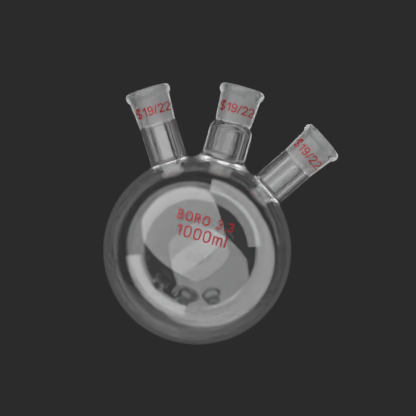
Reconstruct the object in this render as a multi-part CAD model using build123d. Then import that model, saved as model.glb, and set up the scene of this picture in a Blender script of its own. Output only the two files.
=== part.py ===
from build123d import *

import os
from math import asin, cos, degrees, pi, radians, sin, sqrt, tan

# Three-neck round bottom flask, 1000 ml, with 19/22 ground sockets.
# Millimetres. The origin is the lowest point of the bulb, +Z runs up the
# centre neck, the side necks lie in the XZ plane, and the marks face -Y.
# Every neck is a body of revolution about an axis through the bulb's centre,
# so its outline is given as (radius, distance from the bulb's centre).

# Bulb
BULB_R = 65.5  # outside radius; 131 mm is the usual size of a 1000 ml bulb
BULB_WALL = 3.0
BULB_INNER_R = BULB_R - BULB_WALL

# Necks
SIDE_ANGLE = 33.2  # between the centre neck and each side neck, degrees
SOCKET_FOOT = 92.0  # where the sockets are fused on
LIP_TOP = 117.5  # the open end of every neck
WAIST_R = 12.2  # outside radius of the fused seam under the centre socket

# Side stems
STEM_R = 12.7
STEM_BORE_R = 9.6
STEM_FOOT = 66.5
STEM_FOOT_OUTER_FILLET = 2.5
STEM_FOOT_INNER_FILLET = 3.0

# Centre neck
NECK_R = 15.0
NECK_BORE_R = 9.7
NECK_FOOT = 70.0
NECK_FOOT_OUTER_FILLET = 8.0
NECK_FOOT_INNER_FILLET = 5.0
NECK_SHOULDER = 87.9  # corner of the shoulder, before it is rounded
NECK_SHOULDER_ROUND = 7.0
NECK_SHOULDER_TOP = 90.9  # corner where the shoulder meets the seam
NECK_SEAM_ROUND = 0.7
NECK_CAVITY_TOP = 84.4  # where the cavity starts to close to the throat
NECK_CAVITY_CLOSE = 5.0  # length over which it closes

# 19/22 ground sockets: a 1 in 10 taper, 18.8 mm wide at the mouth
TAPER_MOUTH_R = 9.4
TAPER_LENGTH = 22.0
THROAT_R = TAPER_MOUTH_R - TAPER_LENGTH / 20
THROAT_FOOT = 94.0  # the lower end of the short throat under the taper
SOCKET_FOOT_R = STEM_R
SOCKET_FOOT_HEIGHT = 0.3  # of the small ledge round the centre seam
SOCKET_FOOT_ROUND = 0.4
SOCKET_TOP_R = 14.07
BEAD_UNDERSIDE = 110.3
BEAD_R = 15.82
BEAD_WIDEST = 112.6
BEAD_UNDERSIDE_ROUND = 1.5
BEAD_LOWER_ROUND = 5.0
BEAD_UPPER_ROUND = 3.0
MOUTH_ROUND = 1.0

# Fired enamel marks
ENAMEL = 0.1  # thickness
SIZE_MARK_HEIGHT = 5.5  # of the stroke centre lines
SIZE_MARK_AT = 101.4  # middle of the lettering, from the bulb's centre
SIZE_MARK_STROKE = 0.85
SIZE_MARK_GAP = 0.65
CAPACITY_HEIGHT = 7.3
CAPACITY_AT = 8.9  # middle of the lettering, above the bulb's centre
CAPACITY_GAP = 1.8
GLASS_TYPE_HEIGHT = 5.8
GLASS_TYPE_AT = 19.3
GLASS_TYPE_GAP = 1.4
BULB_MARK_STROKE = 0.95


def turned(edges):
    """The solid of revolution about Z of a closed outline in the XZ plane."""
    face = make_face(Plane.XZ * Wire(edges))
    return revolve(face, Axis.Z, 360)


def round_arc(centre, radius, start, end):
    """The shorter arc about centre from the direction start to end, degrees."""
    points = []
    for angle in (start, (start + end) / 2, end):
        turn = radians(angle)
        points.append((centre[0] + radius * cos(turn), centre[1] + radius * sin(turn)))
    return ThreePointArc(*points)


def foot_angle(radius, outer_fillet):
    """How far from its neck's axis a foot ends on the bulb, in degrees."""
    return degrees(asin((radius + outer_fillet) / (BULB_R + outer_fillet)))


def neck_foot(radius, bore_radius, outer_fillet, inner_fillet, top):
    """The flared ring of glass that joins a neck to the bulb.

    Its edge is a cone from the bulb's centre, so the bulb's hole has the same
    edge. Outside, a hollow fillet runs from the bulb to the neck. Inside, the
    corner between the bulb and the bore is rounded off.
    """
    angle = foot_angle(radius, outer_fillet)
    edge_r = sin(radians(angle))
    edge_v = cos(radians(angle))
    outer_edge = (BULB_R * edge_r, BULB_R * edge_v)
    inner_edge = (BULB_INNER_R * edge_r, BULB_INNER_R * edge_v)

    outer_x = radius + outer_fillet
    outer_v = sqrt((BULB_R + outer_fillet) ** 2 - outer_x**2)
    outer_start = 270 - angle
    outside = round_arc((outer_x, outer_v), outer_fillet, outer_start, 180)

    inner_x = bore_radius + inner_fillet
    inner_reach = BULB_INNER_R + inner_fillet
    inner_v = sqrt(inner_reach**2 - inner_x**2)
    inner_angle = degrees(asin(inner_x / inner_reach))
    inside = round_arc((inner_x, inner_v), inner_fillet, 180, 270 - inner_angle)
    ceiling = round_arc((0, 0), BULB_INNER_R, 90 - inner_angle, 90 - angle)

    return turned(
        [
            Line(inner_edge, outer_edge),
            outside,
            Line((radius, outer_v), (radius, top)),
            Line((radius, top), (bore_radius, top)),
            Line((bore_radius, top), (bore_radius, inner_v)),
            inside,
            ceiling,
        ]
    )


def drawn_in(radius, start, end_radius, end):
    """A smooth S-shaped line from one radius to another, straight at both ends."""
    middle = (start + end) / 2
    return Bezier((radius, start), (radius, middle), (end_radius, middle), (end_radius, end))


def side_stem():
    """The straight tube of a side neck."""
    outline = Polyline(
        (STEM_BORE_R, STEM_FOOT),
        (STEM_R, STEM_FOOT),
        (STEM_R, SOCKET_FOOT),
        (STEM_BORE_R, SOCKET_FOOT),
        close=True,
    )
    return turned(outline.edges())


def neck_body():
    """The thick centre neck, with a round shoulder under the socket."""
    shoulder = FilletPolyline(
        (NECK_R, NECK_FOOT),
        (NECK_R, NECK_SHOULDER),
        (WAIST_R, NECK_SHOULDER_TOP),
        (WAIST_R, SOCKET_FOOT),
        radius=[NECK_SHOULDER_ROUND, NECK_SEAM_ROUND],
    )
    cavity_end = NECK_CAVITY_TOP + NECK_CAVITY_CLOSE
    return turned(
        [
            Line((NECK_BORE_R, NECK_FOOT), (NECK_R, NECK_FOOT)),
            *shoulder.edges(),
            Line((WAIST_R, SOCKET_FOOT), (THROAT_R, SOCKET_FOOT)),
            Line((THROAT_R, SOCKET_FOOT), (THROAT_R, cavity_end)),
            drawn_in(THROAT_R, cavity_end, NECK_BORE_R, NECK_CAVITY_TOP),
            Line((NECK_BORE_R, NECK_CAVITY_TOP), (NECK_BORE_R, NECK_FOOT)),
        ]
    )


def ground_socket(foot, bore):
    """A thick conical socket with a beaded rim and a ground 19/22 taper inside.

    foot is the outline from the bore round the socket's foot, as corners and
    the round of each, and bore is the line of the bore under the throat.
    """
    corners = [
        *foot,
        ((SOCKET_TOP_R, BEAD_UNDERSIDE), BEAD_UNDERSIDE_ROUND),
        ((BEAD_R, BEAD_WIDEST), BEAD_LOWER_ROUND),
        ((BEAD_R, LIP_TOP), BEAD_UPPER_ROUND),
        ((TAPER_MOUTH_R, LIP_TOP), MOUTH_ROUND),
        ((THROAT_R, LIP_TOP - TAPER_LENGTH), 0),
        ((THROAT_R, THROAT_FOOT), 0),
    ]
    points = [point for point, round_radius in corners]
    rounds = [round_radius for point, round_radius in corners[1:-1]]
    outline = FilletPolyline(*points, radius=rounds)
    return turned([*outline.edges(), bore])


def centre_socket():
    """The socket of the centre neck, with a ledge round its narrow seam."""
    foot = [
        ((THROAT_R, SOCKET_FOOT), 0),
        ((WAIST_R, SOCKET_FOOT), 0),
        ((SOCKET_FOOT_R, SOCKET_FOOT + SOCKET_FOOT_HEIGHT), SOCKET_FOOT_ROUND),
    ]
    return ground_socket(foot, Line((THROAT_R, THROAT_FOOT), (THROAT_R, SOCKET_FOOT)))


def side_socket():
    """The socket of a side neck, flush with its stem outside and in the bore."""
    foot = [((STEM_BORE_R, SOCKET_FOOT), 0), ((SOCKET_FOOT_R, SOCKET_FOOT), 0)]
    return ground_socket(foot, drawn_in(THROAT_R, THROAT_FOOT, STEM_BORE_R, SOCKET_FOOT))


def bulb_shell():
    """The blown sphere, with a hole for each neck."""
    shell = Sphere(BULB_R) - Sphere(BULB_INNER_R)
    centre_angle = foot_angle(NECK_R, NECK_FOOT_OUTER_FILLET)
    side_angle = foot_angle(STEM_R, STEM_FOOT_OUTER_FILLET)
    holes = ((0, centre_angle), (-SIDE_ANGLE, side_angle), (SIDE_ANGLE, side_angle))
    reach = BULB_R + 5
    for tilt, angle in holes:
        width = reach * tan(radians(angle))
        cone = Polyline((0, 0), (width, reach), (0, reach), close=True)
        cutter = turned(cone.edges())
        shell -= Rot(0, tilt, 0) * cutter
    return shell


# Lettering. Each stroke is a line or an arc with round ends, in a cell whose
# capitals are 1 high, and each character is (its width, its strokes).


def bar(x0, y0, x1, y1):
    """A straight stroke."""
    return ("bar", (x0, y0), (x1, y1))


def bow(x, y, radius, start, sweep):
    """A round stroke about (x, y), from the angle start through sweep, degrees."""
    return ("bow", (x, y), radius, start, sweep)


CHARACTERS = {
    "1": (0.34, [bar(0.3, 0, 0.3, 1), bar(0.3, 1, 0.02, 0.76)]),
    "9": (
        0.56,
        [
            bow(0.28, 0.72, 0.28, 0, 180),
            bow(0.28, 0.72, 0.28, 180, 180),
            bar(0.56, 0.72, 0.56, 0.28),
            bow(0.28, 0.28, 0.28, 0, -150),
        ],
    ),
    "/": (0.3, [bar(0, 0, 0.3, 1)]),
    "2": (
        0.56,
        [bow(0.28, 0.72, 0.28, 170, -208), bar(0.5, 0.548, 0, 0), bar(0, 0, 0.56, 0)],
    ),
    "0": (
        0.56,
        [
            bow(0.28, 0.72, 0.28, 0, 180),
            bar(0, 0.72, 0, 0.28),
            bow(0.28, 0.28, 0.28, 180, 180),
            bar(0.56, 0.28, 0.56, 0.72),
        ],
    ),
    "3": (0.52, [bow(0.27, 0.75, 0.25, 150, -240), bow(0.27, 0.25, 0.25, 90, -240)]),
    "m": (
        0.76,
        [
            bar(0, 0, 0, 0.72),
            bow(0.19, 0.53, 0.19, 180, -180),
            bar(0.38, 0.53, 0.38, 0),
            bow(0.57, 0.53, 0.19, 180, -180),
            bar(0.76, 0.53, 0.76, 0),
        ],
    ),
    "l": (0.0, [bar(0, 0, 0, 1.03)]),
    "B": (
        0.55,
        [
            bar(0, 0, 0, 1),
            bar(0, 1, 0.28, 1),
            bow(0.28, 0.76, 0.24, 90, -180),
            bar(0, 0.52, 0.29, 0.52),
            bow(0.29, 0.26, 0.26, 90, -180),
            bar(0, 0, 0.29, 0),
        ],
    ),
    "O": (
        0.72,
        [
            bow(0.36, 0.64, 0.36, 0, 180),
            bar(0, 0.64, 0, 0.36),
            bow(0.36, 0.36, 0.36, 180, 180),
            bar(0.72, 0.36, 0.72, 0.64),
        ],
    ),
    "R": (
        0.56,
        [
            bar(0, 0, 0, 1),
            bar(0, 1, 0.3, 1),
            bow(0.3, 0.755, 0.245, 90, -180),
            bar(0, 0.51, 0.3, 0.51),
            bar(0.3, 0.51, 0.56, 0),
        ],
    ),
    ".": (0.0, [bar(0, 0, 0, 0.03)]),
    " ": (0.2, []),
    # The standard-taper sign: a T through an S.
    "taper": (
        0.54,
        [
            bow(0.27, 0.75, 0.25, 35, 235),
            bow(0.27, 0.25, 0.25, 90, -235),
            bar(0.27, -0.14, 0.27, 1.14),
            bar(0.1, 1.14, 0.44, 1.14),
        ],
    ),
}


def character(name, height, stroke):
    """A flat character, centred on the middle of its own width and height."""
    width, strokes = CHARACTERS[name]
    shape = Sketch()
    for kind, *where in strokes:
        if kind == "bar":
            start, end = [Vector(x * height, y * height) for x, y in where]
            shape += SlotCenterPoint((start + end) / 2, end, stroke)
        else:
            (x, y), radius, start, sweep = where
            arc = CenterArc((x * height, y * height), radius * height, start, sweep)
            shape += SlotArc(arc, stroke)
    return Pos(-width * height / 2, -height / 2) * shape


def spaced(names, height, stroke, gap):
    """Each character with the place of its middle, the row centred on 0."""
    widths = [CHARACTERS[name][0] * height + stroke for name in names]
    total = sum(widths) + gap * (len(names) - 1)
    row = []
    left = -total / 2
    for name, width in zip(names, widths):
        if CHARACTERS[name][1]:
            row.append((character(name, height, stroke), left + width / 2))
        left += width + gap
    return row


def stamped(row, above, reach, skin):
    """A row of flat characters pressed straight back onto a thin skin of enamel."""
    pieces = []
    for shape, place in row:
        front = Plane((place, 0, above), x_dir=(1, 0, 0), z_dir=(0, -1, 0))
        stamp = extrude(front * shape, reach)
        pieces += (stamp & skin).solids()
    return Compound(pieces)


def size_mark():
    """The standard-taper sign and 19/22, on the front of a socket."""
    slope = (SOCKET_TOP_R - SOCKET_FOOT_R) / (BEAD_UNDERSIDE - SOCKET_FOOT)
    low = SIZE_MARK_AT - SIZE_MARK_HEIGHT
    high = SIZE_MARK_AT + SIZE_MARK_HEIGHT
    corners = []
    for v, raised in ((low, 0), (low, ENAMEL), (high, ENAMEL), (high, 0)):
        corners.append((SOCKET_FOOT_R + slope * (v - SOCKET_FOOT) + raised, v))
    skin = turned(Polyline(*corners, close=True).edges())
    names = ["taper", "1", "9", "/", "2", "2"]
    row = spaced(names, SIZE_MARK_HEIGHT, SIZE_MARK_STROKE, SIZE_MARK_GAP)
    return stamped(row, SIZE_MARK_AT, SOCKET_TOP_R + 1, skin)


def bulb_mark(names, height, above, gap):
    """A row of characters on the front of the bulb, level with its equator."""
    skin = Sphere(BULB_R + ENAMEL) - Sphere(BULB_R)
    row = spaced(names, height, BULB_MARK_STROKE, gap)
    return stamped(row, above, BULB_R + 1, skin)


def placed(solid, tilt=0):
    """Tilts a neck's piece about the bulb's centre and lifts it to its height."""
    return Pos(0, 0, BULB_R) * Rot(0, tilt, 0) * solid


stem_foot = neck_foot(
    STEM_R, STEM_BORE_R, STEM_FOOT_OUTER_FILLET, STEM_FOOT_INNER_FILLET, STEM_FOOT
)
centre_foot = neck_foot(
    NECK_R, NECK_BORE_R, NECK_FOOT_OUTER_FILLET, NECK_FOOT_INNER_FILLET, NECK_FOOT
)
stem = side_stem()
socket = side_socket()
mark = size_mark()
capacity = bulb_mark([*"1000ml"], CAPACITY_HEIGHT, CAPACITY_AT, CAPACITY_GAP)
glass_type = bulb_mark([*"BORO 3.3"], GLASS_TYPE_HEIGHT, GLASS_TYPE_AT, GLASS_TYPE_GAP)

nodes = {
    "bulb": placed(bulb_shell()),
    "centre_neck_seal": placed(centre_foot),
    "centre_neck": placed(neck_body()),
    "centre_socket": placed(centre_socket()),
    "centre_size_mark": placed(mark),
    "capacity_mark": placed(capacity),
    "glass_type_mark": placed(glass_type),
}
for side, tilt in (("left", -SIDE_ANGLE), ("right", SIDE_ANGLE)):
    nodes[f"{side}_stem_seal"] = placed(stem_foot, tilt)
    nodes[f"{side}_stem"] = placed(stem, tilt)
    nodes[f"{side}_socket"] = placed(socket, tilt)
    nodes[f"{side}_size_mark"] = placed(mark, tilt)

os.makedirs("parts", exist_ok=True)
for name, solid in nodes.items():
    export_step(solid, f"parts/{name}.step")

cavity_ml = 4 / 3 * pi * BULB_INNER_R**3 / 1000
print("bulb cavity", round(cavity_ml), "ml")
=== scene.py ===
from math import acos, asin, atan, cos, degrees, pi, radians, sin, sqrt, tan

import bmesh
import bpy
from mathutils import Matrix, Vector


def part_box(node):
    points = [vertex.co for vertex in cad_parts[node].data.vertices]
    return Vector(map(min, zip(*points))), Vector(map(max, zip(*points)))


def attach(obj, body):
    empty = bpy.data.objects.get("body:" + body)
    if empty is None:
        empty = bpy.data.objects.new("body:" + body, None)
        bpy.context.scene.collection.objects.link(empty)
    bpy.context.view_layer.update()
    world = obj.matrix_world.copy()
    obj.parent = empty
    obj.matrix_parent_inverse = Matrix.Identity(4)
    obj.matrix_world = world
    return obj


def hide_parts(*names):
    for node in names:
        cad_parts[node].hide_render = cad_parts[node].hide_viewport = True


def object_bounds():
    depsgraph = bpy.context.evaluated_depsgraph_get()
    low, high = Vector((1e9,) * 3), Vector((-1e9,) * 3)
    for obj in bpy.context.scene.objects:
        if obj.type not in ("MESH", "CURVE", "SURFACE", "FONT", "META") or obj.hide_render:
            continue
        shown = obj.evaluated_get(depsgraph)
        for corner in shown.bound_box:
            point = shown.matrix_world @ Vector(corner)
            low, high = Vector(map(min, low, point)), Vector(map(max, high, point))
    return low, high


# A three-neck round bottom flask in clear borosilicate glass, empty, upright on
# a pale floor. Metres, in the frame of the CAD part: the lowest point of the
# bulb is the origin, +Z runs up the centre neck and the marks face -Y.

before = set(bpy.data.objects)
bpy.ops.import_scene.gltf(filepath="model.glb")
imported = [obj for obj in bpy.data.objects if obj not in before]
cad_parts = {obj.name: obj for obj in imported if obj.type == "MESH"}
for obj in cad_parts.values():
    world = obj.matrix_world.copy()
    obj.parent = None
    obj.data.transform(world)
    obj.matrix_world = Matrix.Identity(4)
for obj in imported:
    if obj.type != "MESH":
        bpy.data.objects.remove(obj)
cad_low, cad_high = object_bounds()

MM = 0.001

# Bulb, from the frame. Its mesh has flat facets, so the radius is rounded to the
# half millimetre that it stands for.
bulb_low, bulb_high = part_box("bulb")
BULB_R = round((bulb_high.x - bulb_low.x) / MM) / 2 * MM
BULB_WALL = 3.0 * MM
BULB_INNER_R = BULB_R - BULB_WALL
BULB_CENTRE = Vector((0, 0, BULB_R))

# Necks: distances along a neck's axis are from the bulb's centre
SIDE_ANGLE = 33.2
LIP_TOP = cad_high.z - BULB_R
SOCKET_FOOT = 92.0 * MM
WAIST_R = 12.2 * MM

STEM_R = 12.7 * MM
STEM_BORE_R = 9.6 * MM
STEM_FOOT = 66.5 * MM
STEM_FOOT_OUTER_FILLET = 2.5 * MM
STEM_FOOT_INNER_FILLET = 3.0 * MM

NECK_R = 15.0 * MM
NECK_BORE_R = 9.7 * MM
NECK_FOOT = 70.0 * MM
NECK_FOOT_OUTER_FILLET = 8.0 * MM
NECK_FOOT_INNER_FILLET = 5.0 * MM
NECK_SHOULDER = 87.9 * MM
NECK_SHOULDER_ROUND = 7.0 * MM
NECK_SHOULDER_TOP = 90.9 * MM
NECK_SEAM_ROUND = 0.7 * MM
NECK_CAVITY_TOP = 84.4 * MM
NECK_CAVITY_END = 89.4 * MM

TAPER_MOUTH_R = 9.4 * MM
TAPER_LENGTH = 22.0 * MM
THROAT_R = TAPER_MOUTH_R - TAPER_LENGTH / 20
THROAT_FOOT = 94.0 * MM
SOCKET_FOOT_R = STEM_R
SOCKET_FOOT_HEIGHT = 0.3 * MM
SOCKET_FOOT_ROUND = 0.4 * MM
SOCKET_TOP_R = 14.07 * MM
BEAD_UNDERSIDE = 110.3 * MM
BEAD_R = 15.82 * MM
BEAD_WIDEST = 112.6 * MM
BEAD_UNDERSIDE_ROUND = 1.5 * MM
BEAD_LOWER_ROUND = 5.0 * MM
BEAD_UPPER_ROUND = 3.0 * MM
MOUTH_ROUND = 1.0 * MM

# Material slots of a glass piece's mesh: its own glass, seams and ground walls
CLEAR, SEAM, GROUND = 0, 1, 2
AROUND = 240  # segments round a neck
ARC_STEP = radians(4)  # of an outline's arcs
DRAWN_STEPS = 14  # of a bore's S-shaped stretch
BALL_SUBDIVISIONS = 7  # of the icosphere that the bulb starts from

GLASS_IOR = 1.473
WAVE_HEIGHT = 0.08 * MM  # of the blown glass's surface
ENAMEL_GRAIN = 0.01 * MM


# ---------------------------------------------------------------- materials


def shader_material(name):
    """A new material with an empty node tree, and its output node."""
    material = bpy.data.materials.new(name)
    material.use_nodes = True
    material.node_tree.nodes.clear()
    output = material.node_tree.nodes.new("ShaderNodeOutputMaterial")
    return material, material.node_tree, output


def noise(tree, scale, detail=2.0, roughness=0.5, distortion=0.0):
    """A noise texture in object coordinates, scale in features a metre."""
    where = tree.nodes.new("ShaderNodeTexCoord")
    texture = tree.nodes.new("ShaderNodeTexNoise")
    texture.inputs["Scale"].default_value = scale
    texture.inputs["Detail"].default_value = detail
    texture.inputs["Roughness"].default_value = roughness
    texture.inputs["Distortion"].default_value = distortion
    tree.links.new(where.outputs["Object"], texture.inputs["Vector"])
    return texture.outputs["Fac"]


def bump(tree, height, distance, strength=1.0):
    """A bump node over the given height, distance in metres."""
    node = tree.nodes.new("ShaderNodeBump")
    node.inputs["Strength"].default_value = strength
    node.inputs["Distance"].default_value = distance
    tree.links.new(height, node.inputs["Height"])
    return node.outputs["Normal"]


def spread(tree, value, low, high, to_low, to_high):
    """The value moved from one range to another, and held at its ends."""
    node = tree.nodes.new("ShaderNodeMapRange")
    node.inputs["From Min"].default_value = low
    node.inputs["From Max"].default_value = high
    node.inputs["To Min"].default_value = to_low
    node.inputs["To Max"].default_value = to_high
    tree.links.new(value, node.inputs["Value"])
    return node.outputs["Result"]


def light_passes(tree, output, shader):
    """Lets lamps shine through the glass, so it doesn't cast a solid shadow."""
    path = tree.nodes.new("ShaderNodeLightPath")
    clear = tree.nodes.new("ShaderNodeBsdfTransparent")
    clear.inputs["Color"].default_value = (0.9, 0.92, 0.92, 1)
    mix = tree.nodes.new("ShaderNodeMixShader")
    tree.links.new(path.outputs["Is Shadow Ray"], mix.inputs["Fac"])
    tree.links.new(shader.outputs["BSDF"], mix.inputs[1])
    tree.links.new(clear.outputs["BSDF"], mix.inputs[2])
    tree.links.new(mix.outputs["Shader"], output.inputs["Surface"])


def glass_shader(tree, colour, roughness):
    """A Principled shader set up as borosilicate glass."""
    shader = tree.nodes.new("ShaderNodeBsdfPrincipled")
    shader.inputs["Base Color"].default_value = colour
    shader.inputs["Roughness"].default_value = roughness
    shader.inputs["IOR"].default_value = GLASS_IOR
    shader.inputs["Transmission Weight"].default_value = 1.0
    return shader


def clear_glass():
    """Blown glass: clear and smooth, with the faint waves of flame working."""
    material, tree, output = shader_material("clear_glass")
    shader = glass_shader(tree, (0.985, 0.99, 0.988, 1), 0.0)
    waves = noise(tree, 45, detail=1.0, distortion=0.4)
    tree.links.new(bump(tree, waves, WAVE_HEIGHT), shader.inputs["Normal"])
    light_passes(tree, output, shader)
    return material


def ground_glass():
    """A socket's inner wall, ground with fine grit until it is white and matt, so it
    scatters more light than it lets through."""
    material, tree, output = shader_material("ground_glass")
    shader = glass_shader(tree, (0.74, 0.745, 0.745, 1), 0.5)
    shader.inputs["Transmission Weight"].default_value = 0.4
    grit = noise(tree, 1800, detail=3.0, roughness=0.6)
    tree.links.new(spread(tree, grit, 0.3, 0.7, 0.44, 0.56), shader.inputs["Roughness"])
    light_passes(tree, output, shader)
    return material


def worked_glass(name, tint, dull, duller):
    """Grey tinted glass, dulled in patches by the flame that shaped it. Its roughness
    lies between dull and duller."""
    material, tree, output = shader_material(name)
    shader = glass_shader(tree, (tint, tint, tint, 1), dull)
    patches = noise(tree, 300, detail=2.0)
    tree.links.new(spread(tree, patches, 0.3, 0.7, dull, duller), shader.inputs["Roughness"])
    light_passes(tree, output, shader)
    return material


def seam():
    """Where two fused pieces meet inside the glass there is no surface to see."""
    material, tree, output = shader_material("fused_seam")
    clear = tree.nodes.new("ShaderNodeBsdfTransparent")
    tree.links.new(clear.outputs["BSDF"], output.inputs["Surface"])
    return material


def red_enamel():
    """Fired ceramic ink: opaque, slightly glossy and a little mottled."""
    material, tree, output = shader_material("red_enamel")
    shader = tree.nodes.new("ShaderNodeBsdfPrincipled")
    ramp = tree.nodes.new("ShaderNodeValToRGB")
    ramp.color_ramp.elements[0].position = 0.3
    ramp.color_ramp.elements[0].color = (0.52, 0.02, 0.032, 1)
    ramp.color_ramp.elements[1].position = 0.7
    ramp.color_ramp.elements[1].color = (0.64, 0.03, 0.044, 1)
    tree.links.new(noise(tree, 1400, detail=3.0), ramp.inputs["Fac"])
    tree.links.new(ramp.outputs["Color"], shader.inputs["Base Color"])
    shader.inputs["Roughness"].default_value = 0.4
    grain = bump(tree, noise(tree, 5000), ENAMEL_GRAIN, strength=0.5)
    tree.links.new(grain, shader.inputs["Normal"])
    tree.links.new(shader.outputs["BSDF"], output.inputs["Surface"])
    return material


CLEAR_GLASS = clear_glass()
GROUND_GLASS = ground_glass()
SOCKET_GLASS = worked_glass("socket_glass", 0.7, 0.26, 0.36)
SEAL_GLASS = worked_glass("seal_glass", 0.62, 0.08, 0.12)
NECK_GLASS = worked_glass("neck_glass", 0.8, 0.03, 0.05)
FUSED_SEAM = seam()
RED_ENAMEL = red_enamel()

# Every other node is clear.
WORKED_NODES = {
    "centre_socket": SOCKET_GLASS,
    "left_socket": SOCKET_GLASS,
    "right_socket": SOCKET_GLASS,
    "centre_neck": NECK_GLASS,
    "centre_neck_seal": SEAL_GLASS,
    "left_stem_seal": SEAL_GLASS,
    "right_stem_seal": SEAL_GLASS,
}


# ---------------------------------------------------------------- outlines
#
# An outline is the section of a neck's piece, as a closed list of runs. A run
# is (slot, points), each point (radius, distance along the axis, and the
# outward direction there). The runs go round the section anticlockwise:
# up the outside, in across the top, down the bore and out across the foot.


def line_run(slot, start, end):
    """A straight run."""
    along = Vector(end) - Vector(start)
    out = Vector((along.y, -along.x)).normalized()
    return (slot, [(*start, out), (*end, out)])


def arc_run(slot, centre, radius, start, end, hollow=False):
    """An arc about centre from the angle start to end. hollow faces its centre."""
    steps = max(2, round(abs(end - start) / ARC_STEP))
    points = []
    for i in range(steps + 1):
        angle = start + (end - start) * i / steps
        spoke = Vector((cos(angle), sin(angle)))
        x = centre[0] + radius * spoke.x
        v = centre[1] + radius * spoke.y
        points.append((x, v, -spoke if hollow else spoke))
    return (slot, points)


def drawn_run(slot, start, end):
    """An S-shaped run, a cubic curve parallel to the axis at both ends."""
    middle = (start[1] + end[1]) / 2
    controls = [start, (start[0], middle), (end[0], middle), end]
    points = []
    for i in range(DRAWN_STEPS + 1):
        t = i / DRAWN_STEPS
        weights = ((1 - t) ** 3, 3 * t * (1 - t) ** 2, 3 * t**2 * (1 - t), t**3)
        slopes = (-((1 - t) ** 2), (1 - t) * (1 - 3 * t), t * (2 - 3 * t), t**2)
        x, v = (sum(w * c[k] for w, c in zip(weights, controls)) for k in (0, 1))
        along_x, along_v = (sum(s * c[k] for s, c in zip(slopes, controls)) for k in (0, 1))
        points.append((x, v, Vector((along_v, -along_x)).normalized()))
    return (slot, points)


def rounded_runs(corners):
    """Straight runs between corners, with arcs at the rounded ones. A corner is the
    slot of the run that leaves it, its point and its rounding radius."""
    runs = []
    previous_end = corners[0][1]
    for i in range(1, len(corners)):
        slot = corners[i - 1][0]
        here = Vector(corners[i][1])
        radius = corners[i][2]
        if i == len(corners) - 1 or radius == 0:
            runs.append(line_run(slot, previous_end, tuple(here)))
            previous_end = tuple(here)
            continue
        before = (Vector(corners[i - 1][1]) - here).normalized()
        after = (Vector(corners[i + 1][1]) - here).normalized()
        half = before.angle(after) / 2
        reach = radius / tan(half)
        start = here + before * reach
        end = here + after * reach
        centre = here + (before + after).normalized() * (radius / sin(half))
        hollow = before.x * after.y - before.y * after.x > 0
        first_spoke = start - centre
        from_angle = -Vector((1, 0)).angle_signed(first_spoke)
        turn = -first_spoke.angle_signed(end - centre)
        runs.append(line_run(slot, previous_end, tuple(start)))
        runs.append(arc_run(slot, tuple(centre), radius, from_angle, from_angle + turn, hollow))
        previous_end = tuple(end)
    return runs


def foot_angle(radius, outer_fillet):
    """How far from its neck's axis a foot ends on the bulb, in radians."""
    return asin((radius + outer_fillet) / (BULB_R + outer_fillet))


def neck_foot_outline(radius, bore_radius, outer_fillet, inner_fillet, top):
    """The flared ring between the bulb and a neck, its top the given distance up."""
    angle = foot_angle(radius, outer_fillet)
    outer_edge = (BULB_R * sin(angle), BULB_R * cos(angle))
    inner_edge = (BULB_INNER_R * sin(angle), BULB_INNER_R * cos(angle))
    outer_x = radius + outer_fillet
    outer_v = sqrt((BULB_R + outer_fillet) ** 2 - outer_x**2)
    inner_x = bore_radius + inner_fillet
    inner_reach = BULB_INNER_R + inner_fillet
    inner_v = sqrt(inner_reach**2 - inner_x**2)
    inner_angle = asin(inner_x / inner_reach)
    flare = arc_run(CLEAR, (outer_x, outer_v), outer_fillet, 1.5 * pi - angle, pi, hollow=True)
    corner = arc_run(CLEAR, (inner_x, inner_v), inner_fillet, pi, 1.5 * pi - inner_angle)
    ceiling_start = pi / 2 - inner_angle
    ceiling = arc_run(CLEAR, (0, 0), BULB_INNER_R, ceiling_start, pi / 2 - angle, hollow=True)
    return [
        line_run(SEAM, inner_edge, outer_edge),
        flare,
        line_run(CLEAR, (radius, outer_v), (radius, top)),
        line_run(SEAM, (radius, top), (bore_radius, top)),
        line_run(CLEAR, (bore_radius, top), (bore_radius, inner_v)),
        corner,
        ceiling,
    ]


def side_stem_outline():
    """The straight tube of a side neck."""
    return [
        line_run(SEAM, (STEM_BORE_R, STEM_FOOT), (STEM_R, STEM_FOOT)),
        line_run(CLEAR, (STEM_R, STEM_FOOT), (STEM_R, SOCKET_FOOT)),
        line_run(SEAM, (STEM_R, SOCKET_FOOT), (STEM_BORE_R, SOCKET_FOOT)),
        line_run(CLEAR, (STEM_BORE_R, SOCKET_FOOT), (STEM_BORE_R, STEM_FOOT)),
    ]


def centre_neck_outline():
    """The thick centre neck, with its round shoulder and closed-in cavity."""
    outside = rounded_runs(
        [
            (CLEAR, (NECK_R, NECK_FOOT), 0),
            (CLEAR, (NECK_R, NECK_SHOULDER), NECK_SHOULDER_ROUND),
            (CLEAR, (WAIST_R, NECK_SHOULDER_TOP), NECK_SEAM_ROUND),
            (CLEAR, (WAIST_R, SOCKET_FOOT), 0),
        ]
    )
    return [
        line_run(SEAM, (NECK_BORE_R, NECK_FOOT), (NECK_R, NECK_FOOT)),
        *outside,
        line_run(SEAM, (WAIST_R, SOCKET_FOOT), (THROAT_R, SOCKET_FOOT)),
        line_run(CLEAR, (THROAT_R, SOCKET_FOOT), (THROAT_R, NECK_CAVITY_END)),
        drawn_run(CLEAR, (THROAT_R, NECK_CAVITY_END), (NECK_BORE_R, NECK_CAVITY_TOP)),
        line_run(CLEAR, (NECK_BORE_R, NECK_CAVITY_TOP), (NECK_BORE_R, NECK_FOOT)),
    ]


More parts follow.
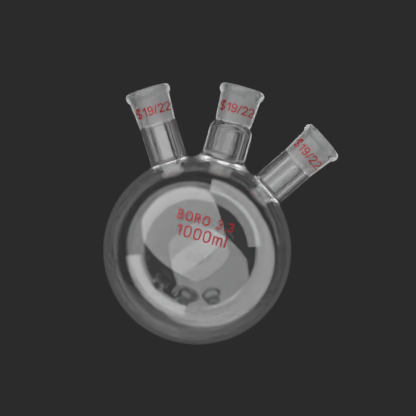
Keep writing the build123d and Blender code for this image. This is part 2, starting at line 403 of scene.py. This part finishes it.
def socket_outline(foot, bore):
    """A thick conical socket with a beaded rim and a ground taper inside.

    foot is the outline from the bore round the socket's foot, as corners for
    rounded_runs, and bore is the run of the bore under the throat.
    """
    runs = rounded_runs(
        [
            *foot,
            (CLEAR, (SOCKET_TOP_R, BEAD_UNDERSIDE), BEAD_UNDERSIDE_ROUND),
            (CLEAR, (BEAD_R, BEAD_WIDEST), BEAD_LOWER_ROUND),
            (CLEAR, (BEAD_R, LIP_TOP), BEAD_UPPER_ROUND),
            (GROUND, (TAPER_MOUTH_R, LIP_TOP), MOUTH_ROUND),
            (GROUND, (THROAT_R, LIP_TOP - TAPER_LENGTH), 0),
            (GROUND, (THROAT_R, THROAT_FOOT), 0),
        ]
    )
    return [*runs, bore]


def centre_socket_outline():
    """The socket of the centre neck, with a ledge round its narrow seam."""
    foot = [
        (SEAM, (THROAT_R, SOCKET_FOOT), 0),
        (CLEAR, (WAIST_R, SOCKET_FOOT), 0),
        (CLEAR, (SOCKET_FOOT_R, SOCKET_FOOT + SOCKET_FOOT_HEIGHT), SOCKET_FOOT_ROUND),
    ]
    bore = line_run(GROUND, (THROAT_R, THROAT_FOOT), (THROAT_R, SOCKET_FOOT))
    return socket_outline(foot, bore)


def side_socket_outline():
    """The socket of a side neck, flush with its stem outside and in the bore."""
    foot = [(SEAM, (STEM_BORE_R, SOCKET_FOOT), 0), (CLEAR, (SOCKET_FOOT_R, SOCKET_FOOT), 0)]
    bore = drawn_run(GROUND, (THROAT_R, THROAT_FOOT), (STEM_BORE_R, SOCKET_FOOT))
    return socket_outline(foot, bore)


# ------------------------------------------------------------------ meshes


def glass_piece(mesh, normals, slots, node):
    """Makes the object of a glass mesh that stands for a CAD node."""
    mesh.polygons.foreach_set("use_smooth", [True] * len(mesh.polygons))
    mesh.normals_split_custom_set(normals)
    for material in slots:
        mesh.materials.append(material)
    piece = bpy.data.objects.new(node + "_glass", mesh)
    bpy.context.scene.collection.objects.link(piece)
    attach(piece, "root")
    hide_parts(node)


def turned_piece(node, outline, tilt=0.0):
    """Revolves an outline about the neck's axis, tilted in the XZ plane."""
    place = Matrix.Translation(BULB_CENTRE) @ Matrix.Rotation(radians(tilt), 4, "Y")
    turn = place.to_3x3()
    vertices = []
    faces = []
    face_slots = []
    normals = []

    rings = []
    for _, points in outline:
        rings += points[:-1]
    spokes = [(cos(2 * pi * k / AROUND), sin(2 * pi * k / AROUND)) for k in range(AROUND)]
    for x, v, out in rings:
        for c, s in spokes:
            vertices.append(place @ Vector((x * c, x * s, v)))

    def outward(out, k):
        c, s = spokes[k % AROUND]
        return turn @ Vector((out.x * c, out.x * s, out.y))

    row = 0
    for slot, points in outline:
        for low, high in zip(points, points[1:]):
            below = row * AROUND
            above = (row + 1) % len(rings) * AROUND
            for k in range(AROUND):
                after = (k + 1) % AROUND
                faces.append((below + k, below + after, above + after, above + k))
                face_slots.append(slot)
                normals += [outward(low[2], k), outward(low[2], k + 1)]
                normals += [outward(high[2], k + 1), outward(high[2], k)]
            row += 1

    mesh = bpy.data.meshes.new(node + "_glass")
    mesh.from_pydata(vertices, [], faces)
    mesh.polygons.foreach_set("material_index", face_slots)
    slots = [WORKED_NODES.get(node, CLEAR_GLASS), FUSED_SEAM, GROUND_GLASS]
    glass_piece(mesh, normals, slots, node)


def bulb_piece(holes):
    """The hollow sphere. Each hole is (axis of its neck, half its angle)."""
    ball = bmesh.new()
    bmesh.ops.create_icosphere(ball, subdivisions=BALL_SUBDIVISIONS, radius=1.0)
    for axis, angle in holes:
        everything = ball.verts[:] + ball.edges[:] + ball.faces[:]
        bmesh.ops.bisect_plane(
            ball, geom=everything, plane_co=axis * cos(angle), plane_no=axis, clear_outer=True
        )
    rim = [edge for edge in ball.edges if edge.is_boundary]
    for vertex in {v for edge in rim for v in edge.verts}:
        outward = vertex.co.normalized()
        axis, angle = min(holes, key=lambda hole: abs(acos(outward.dot(hole[0])) - hole[1]))
        across = (vertex.co - axis * vertex.co.dot(axis)).normalized()
        vertex.co = axis * cos(angle) + across * sin(angle)
    for vertex in ball.verts:
        vertex.co.normalize()
    ball.verts.index_update()

    directions = [v.co.copy() for v in ball.verts]
    count = len(directions)
    vertices = [BULB_CENTRE + d * BULB_R for d in directions]
    vertices += [BULB_CENTRE + d * BULB_INNER_R for d in directions]
    faces = []
    face_slots = []
    normals = []
    for face in ball.faces:
        loop = [v.index for v in face.verts]
        faces.append(tuple(loop))
        normals += [directions[i] for i in loop]
        face_slots.append(CLEAR)
    for face in ball.faces:
        loop = [v.index for v in reversed(face.verts)]
        faces.append(tuple(i + count for i in loop))
        normals += [-directions[i] for i in loop]
        face_slots.append(CLEAR)
    for edge in rim:
        loop = edge.link_loops[0]
        a, b = loop.vert.index, loop.link_loop_next.vert.index
        faces.append((b, a, a + count, b + count))
        flat = (vertices[a] - vertices[b]).cross(vertices[a + count] - vertices[a]).normalized()
        normals += [flat] * 4
        face_slots.append(SEAM)
    ball.free()

    mesh = bpy.data.meshes.new("bulb_glass")
    mesh.from_pydata(vertices, [], faces)
    mesh.polygons.foreach_set("material_index", face_slots)
    glass_piece(mesh, normals, [CLEAR_GLASS, FUSED_SEAM], "bulb")


def neck_axis(tilt):
    """The direction of a neck tilted towards +X."""
    return Vector((sin(radians(tilt)), 0, cos(radians(tilt))))


STEM_HOLE = foot_angle(STEM_R, STEM_FOOT_OUTER_FILLET)
NECK_HOLE = foot_angle(NECK_R, NECK_FOOT_OUTER_FILLET)
bulb_piece(
    [
        (neck_axis(0), NECK_HOLE),
        (neck_axis(-SIDE_ANGLE), STEM_HOLE),
        (neck_axis(SIDE_ANGLE), STEM_HOLE),
    ]
)
centre_foot = neck_foot_outline(
    NECK_R, NECK_BORE_R, NECK_FOOT_OUTER_FILLET, NECK_FOOT_INNER_FILLET, NECK_FOOT
)
turned_piece("centre_neck_seal", centre_foot)
turned_piece("centre_neck", centre_neck_outline())
turned_piece("centre_socket", centre_socket_outline())
stem_foot = neck_foot_outline(
    STEM_R, STEM_BORE_R, STEM_FOOT_OUTER_FILLET, STEM_FOOT_INNER_FILLET, STEM_FOOT
)
for side, tilt in (("left", -SIDE_ANGLE), ("right", SIDE_ANGLE)):
    turned_piece(side + "_stem_seal", stem_foot, tilt)
    turned_piece(side + "_stem", side_stem_outline(), tilt)
    turned_piece(side + "_socket", side_socket_outline(), tilt)

for node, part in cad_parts.items():
    if node.endswith("_mark"):
        part.data.materials.clear()
        part.data.materials.append(RED_ENAMEL)


# ------------------------------------------------------------------- stage

FLOOR_R = 0.9
FLOOR_SEGMENTS = 128
FLOOR_COLOUR = (0.62, 0.61, 0.60, 1)
BACKDROP = 0.0242  # dark grey, as a linear value
LAMP_DISTANCE = 1.0
GLOW_DISTANCE = 2.2  # behind the key panel
STRIP_STEP = 5.0  # degrees

world = bpy.data.worlds.new("studio")
world.use_nodes = True
backdrop = world.node_tree.nodes["Background"]
backdrop.inputs["Color"].default_value = (BACKDROP, BACKDROP, BACKDROP, 1)
backdrop.inputs["Strength"].default_value = 1.0
bpy.context.scene.world = world


def stage_piece(name, mesh, material):
    """An object of the studio, which isn't part of the flask."""
    mesh.materials.append(material)
    piece = bpy.data.objects.new(name, mesh)
    bpy.context.scene.collection.objects.link(piece)
    return piece


def mirrored_or_not(tree, output, mirrored, direct):
    """One shader for mirror images, and another for what is seen directly or
    through the glass."""
    path = tree.nodes.new("ShaderNodeLightPath")
    mix = tree.nodes.new("ShaderNodeMixShader")
    tree.links.new(spread(tree, path.outputs["Glossy Depth"], 0, 1, 0, 1), mix.inputs["Fac"])
    tree.links.new(direct, mix.inputs[1])
    tree.links.new(mirrored, mix.inputs[2])
    tree.links.new(mix.outputs["Shader"], output.inputs["Surface"])


def pale_floor():
    """A plain pale round table top, under the flask. It is left out of mirror images,
    so that the lamps below it close the ring of light."""
    disc = bmesh.new()
    bmesh.ops.create_circle(disc, cap_ends=True, segments=FLOOR_SEGMENTS, radius=FLOOR_R)
    mesh = bpy.data.meshes.new("floor")
    disc.to_mesh(mesh)
    disc.free()
    material, tree, output = shader_material("pale_floor")
    shader = tree.nodes.new("ShaderNodeBsdfPrincipled")
    shader.inputs["Base Color"].default_value = FLOOR_COLOUR
    shader.inputs["Roughness"].default_value = 0.6
    unseen = tree.nodes.new("ShaderNodeBsdfTransparent")
    mirrored_or_not(tree, output, unseen.outputs["BSDF"], shader.outputs["BSDF"])
    stage_piece("floor", mesh, material)


# The lamps stand round the flask. A place among them is an angle from the
# direction of the camera and an angle round it, from +X towards +Z, in degrees.


def direction(angle, around):
    """The direction of a place among the lamps, from the bulb's centre."""
    a = radians(angle)
    b = radians(around)
    return Vector((sin(a) * cos(b), -cos(a), sin(a) * sin(b)))


def glowing_piece(name, radiance, vertices, faces):
    """A lamp that shows in mirror images alone, so the edges of the glass stay dark."""
    mesh = bpy.data.meshes.new(name)
    mesh.from_pydata(vertices, [], faces)
    material, tree, output = shader_material(name)
    glow = tree.nodes.new("ShaderNodeEmission")
    glow.inputs["Strength"].default_value = radiance
    unseen = tree.nodes.new("ShaderNodeBsdfTransparent")
    mirrored_or_not(tree, output, glow.outputs["Emission"], unseen.outputs["BSDF"])
    stage_piece(name, mesh, material).visible_camera = False


def straight_edge(angle, around):
    """The far angle of a lamp with a straight edge, as a function of the place along
    it. The edge is farthest away at angle and around."""
    rise = tan(radians(angle - 90))
    return lambda place: 90 + degrees(atan(rise * cos(radians(place - around))))


def light_strip(name, radiance, near, far, start, end, distance=LAMP_DISTANCE):
    """A glowing sheet curved round the flask, from near to far degrees away from the
    camera, and from start to end round it. far may be a function of the latter."""
    steps = round((end - start) / STRIP_STEP)
    vertices = []
    for i in range(steps + 1):
        around = start + (end - start) * i / steps
        outer = far(around) if callable(far) else far
        for angle in (near, (near + outer) / 2, outer):
            vertices.append(BULB_CENTRE + direction(angle, around) * distance)
    faces = []
    for i in range(steps):
        for k in (0, 1):
            first = 3 * i + k
            faces.append((first, first + 1, first + 4, first + 3))
    glowing_piece(name, radiance, vertices, faces)


def light_panel(name, radiance, angle, around, corners):
    """A flat glowing panel square to the direction of angle and around. A corner is
    two angles from the panel's middle, across it and away from the camera."""
    towards = direction(angle, around)
    across = direction(90, around + 90)
    up = across.cross(towards)
    vertices = []
    for right, away in corners:
        offset = across * tan(radians(right)) + up * tan(radians(away))
        vertices.append(BULB_CENTRE + (towards + offset) * LAMP_DISTANCE)
    glowing_piece(name, radiance, vertices, [range(len(vertices))])


def matt_lamp(name, place, size, power):
    """A square lamp facing the flask, which lights the floor and the enamel and
    leaves no image in the glass."""
    lamp = bpy.data.lights.new(name, "AREA")
    lamp.size = size
    lamp.energy = power
    holder = bpy.data.objects.new(name, lamp)
    holder.location = place
    holder.rotation_mode = "QUATERNION"
    holder.rotation_quaternion = (BULB_CENTRE - place).to_track_quat("-Z", "Y")
    holder.visible_camera = False
    holder.visible_glossy = False
    holder.visible_transmission = False
    bpy.context.scene.collection.objects.link(holder)


# The key panel stands to the upper left of the camera, has its far corners cut
# off, and is half as bright along its near edge.
KEY_ANGLE = 28
KEY_AROUND = 144
KEY_CORNERS = [
    (-42, -41.6),
    (-46, -10),
    (-52, 20),
    (-56, 44),
    (-43, 55),
    (0, 58.5),
    (35, 54),
    (45, 36),
    (42, -41.6),
]
KEY_EDGE_CORNERS = [(-42, -62), (-42, -41.6), (42, -41.6), (42, -62)]

pale_floor()
light_panel("key_panel", 3.0, KEY_ANGLE, KEY_AROUND, KEY_CORNERS)
light_panel("key_edge", 1.5, KEY_ANGLE, KEY_AROUND, KEY_EDGE_CORNERS)
light_strip("lower_band", 2.6, 73, 95, 200, 286)
light_strip("right_band", 2.6, 75, 97, 286, 454)
light_strip("right_band_edge", 1.9, 97, straight_edge(112, 331), 258, 404)
light_strip("far_glow", 0.08, 112, 165, 0, 360)
light_strip("near_glow", 0.14, 2, 72, 0, 360, GLOW_DISTANCE)
matt_lamp("front_light", Vector((0, -1.2, 0.12)), 0.5, 5)
matt_lamp("overhead_light", Vector((0, 0, 0.5)), 0.3, 0.2)

# The camera stands level with the table top, far off, behind a long lens, and
# is rolled, so that the flask leans over in the picture.
VIEW_DISTANCE = 2.5
VIEW_WIDTH = 0.2884
CAMERA_ROLL = 15.8
AIM = Vector((-0.0008, 0, 0.0959))

camera_data = bpy.data.cameras.new("camera")
camera_data.sensor_width = 36
camera_data.lens = camera_data.sensor_width * VIEW_DISTANCE / VIEW_WIDTH
camera_data.clip_start = 0.1
camera_data.clip_end = 20
camera = bpy.data.objects.new("camera", camera_data)
bpy.context.scene.collection.objects.link(camera)
camera_place = Vector((AIM.x, -VIEW_DISTANCE, 0))
level = (AIM - camera_place).to_track_quat("-Z", "Y").to_matrix().to_4x4()
camera.matrix_world = (
    Matrix.Translation(camera_place) @ level @ Matrix.Rotation(radians(CAMERA_ROLL), 4, "Z")
)
bpy.context.scene.camera = camera

scene = bpy.context.scene
scene.view_settings.view_transform = "Standard"
scene.cycles.max_bounces = 32
scene.cycles.transmission_bounces = 32
scene.cycles.transparent_max_bounces = 64
scene.cycles.glossy_bounces = 16
scene.cycles.use_denoising = True
